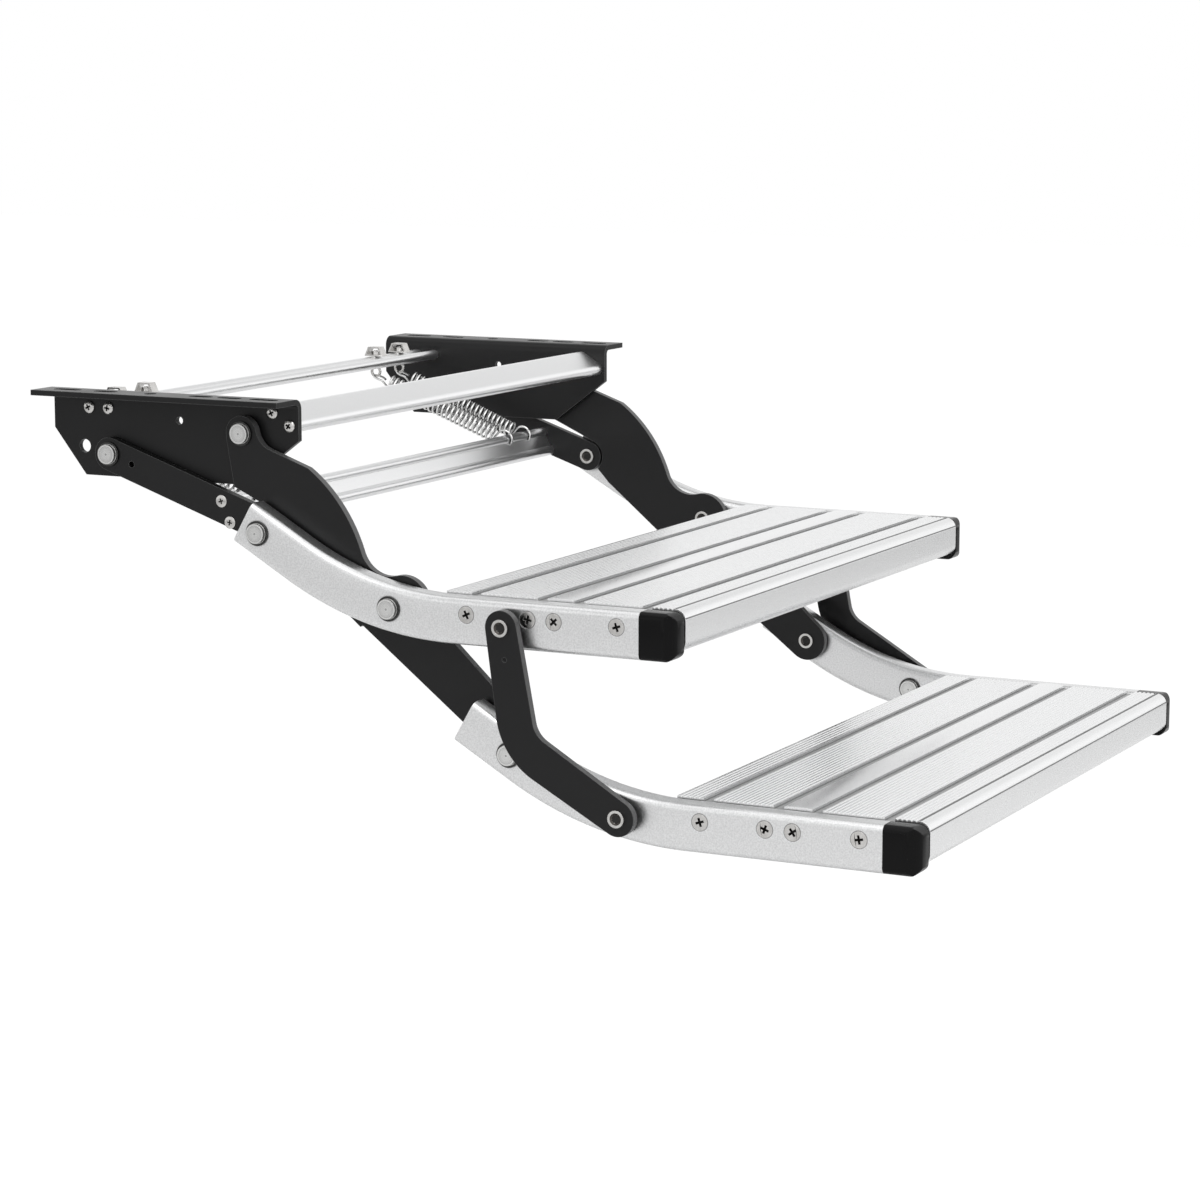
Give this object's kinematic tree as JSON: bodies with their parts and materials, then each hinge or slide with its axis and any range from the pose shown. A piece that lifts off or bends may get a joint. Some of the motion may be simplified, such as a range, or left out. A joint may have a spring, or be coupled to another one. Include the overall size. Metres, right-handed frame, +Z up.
{
  "type": "folding caravan entry step",
  "caption": "Folding double entry step for a caravan: two ribbed treads on curved stringers, hung from a slotted under-floor frame by sprung folding arms.",
  "frame": {"origin": "midway between the two round flange holes, in the plane of the flange tops", "axes": "+Z up, out of the flange tops; +X across the width to the right; -Y forward, to the side the treads reach out to"},
  "size_m": [0.4946, 0.6055, 0.252],
  "materials": {
    "aluminium": "satin anodised",
    "black_powder_coat": "satin black powder coat",
    "stainless": "turned, satin",
    "cap_black": "semi-gloss",
    "spring_steel": "bright zinc"
  },
  "bodies": {
    "frame": {"mount_plate_left": "black_powder_coat", "mount_plate_right": "black_powder_coat", "front_cross_bar": "aluminium", "rear_cross_bar": "aluminium", "front_bar_screws": "stainless", "rear_bar_screws": "stainless", "arm_pivot_pins": "stainless", "arm_pivot_screws": "stainless", "link_pivot_pins": "stainless", "link_pivot_screws": "stainless", "spring_brackets": "stainless", "anchor_bolts": "stainless", "anchor_nuts": "stainless"},
    "arms": {"arm_left": "black_powder_coat", "arm_right": "black_powder_coat"},
    "rear_links": {"rear_link_left": "black_powder_coat", "rear_link_right": "black_powder_coat", "link_cross_bar": "aluminium", "link_bar_screws": "stainless", "link_end_screws": "stainless"},
    "upper_step": {"upper_stringer_left": "aluminium", "upper_stringer_right": "aluminium", "upper_tread": "aluminium", "upper_tread_screws": "stainless", "upper_cap_left": "cap_black", "upper_cap_right": "cap_black", "upper_link_studs": "stainless", "upper_arm_pins": "stainless", "upper_arm_screws": "stainless", "dogleg_top_pins": "stainless", "dogleg_top_screws": "stainless"},
    "doglegs": {"dogleg_left": "black_powder_coat", "dogleg_right": "black_powder_coat", "dogleg_low_screws": "stainless"},
    "lower_step": {"lower_stringer_left": "aluminium", "lower_stringer_right": "aluminium", "lower_tread": "aluminium", "lower_tread_screws": "stainless", "lower_cap_left": "cap_black", "lower_cap_right": "cap_black", "lower_arm_pins": "stainless", "lower_arm_screws": "stainless", "lower_dogleg_studs": "stainless"},
    "springs": {"spring_left_inner": "spring_steel", "spring_left_outer": "spring_steel", "spring_right_inner": "spring_steel", "spring_right_outer": "spring_steel"}
  },
  "joints": [
    {"name": "arm_fold", "type": "hinge", "parent": "frame", "child": "arms", "pos_m": [0, -0.0625, -0.0225], "axis": [1, 0, 0], "range_deg": [0, 100]},
    {"name": "rear_link_fold", "type": "hinge", "parent": "frame", "child": "rear_links", "pos_m": [0, 0.0365, -0.0405], "axis": [1, 0, 0], "range_deg": [0, 137.8]},
    {"name": "upper_step_fold", "type": "hinge", "parent": "arms", "child": "upper_step", "pos_m": [0, -0.17689, -0.12174], "axis": [1, 0, 0], "range_deg": [-108.4, 0]},
    {"name": "lower_step_fold", "type": "hinge", "parent": "arms", "child": "lower_step", "pos_m": [0, -0.25894, -0.20453], "axis": [1, 0, 0], "range_deg": [-110.5, 0]},
    {"name": "dogleg_fold", "type": "hinge", "parent": "upper_step", "child": "doglegs", "pos_m": [0, -0.259, -0.126], "axis": [1, 0, 0], "range_deg": [0, 88.6]},
    {"name": "spring_swing", "type": "hinge", "parent": "frame", "child": "springs", "pos_m": [0, 0.055, -0.02], "axis": [1, 0, 0], "range_deg": [0, 110.6], "deforming": ["spring_left_inner", "spring_left_outer", "spring_right_inner", "spring_right_outer"]}
  ],
  "couplings": [
    {"joint": "rear_link_fold", "follows": "arm_fold", "ratio": 1.378},
    {"joint": "upper_step_fold", "follows": "arm_fold", "ratio": -1.084},
    {"joint": "lower_step_fold", "follows": "arm_fold", "ratio": -1.1049},
    {"joint": "dogleg_fold", "follows": "arm_fold", "ratio": 0.8856},
    {"joint": "spring_swing", "follows": "arm_fold", "ratio": 1.106}
  ]
}
